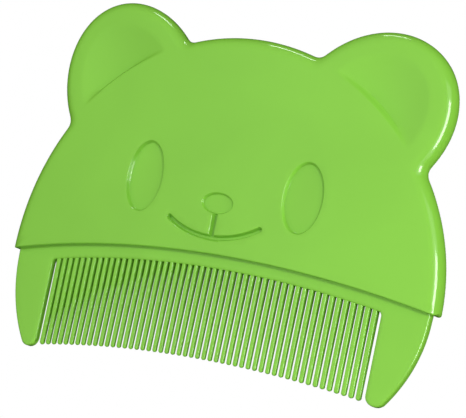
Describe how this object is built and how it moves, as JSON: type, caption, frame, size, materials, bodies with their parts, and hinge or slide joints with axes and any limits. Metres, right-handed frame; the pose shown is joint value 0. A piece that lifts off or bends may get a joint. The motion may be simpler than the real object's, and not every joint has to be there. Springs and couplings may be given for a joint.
{
  "type": "flea comb",
  "caption": "Bowed animal-head flea comb: a hollow moulded handle with two round ears that holds a blade of close fine teeth between two broad guard teeth.",
  "frame": {"origin": "middle of the footprint, at the height of the lowest edges of the bowed back", "axes": "+X to the viewer's right across the face, +Y from the teeth to the ears, +Z the way the face looks"},
  "size_m": [0.0954, 0.0738, 0.0112],
  "materials": {
    "head_shell": "polished bright green moulding, smooth, with soft rounded edges",
    "back_cover": "polished bright green moulding, smooth",
    "blade": "polished bright green moulding, smooth",
    "fine_teeth": "polished bright green moulding, thin enough to let a little light through"
  },
  "bodies": {
    "root": {"head_shell": "head_shell", "back_cover": "back_cover", "comb_spine": "blade", "left_guard_tooth": "blade", "right_guard_tooth": "blade", "fine_teeth": "fine_teeth"}
  },
  "joints": []
}
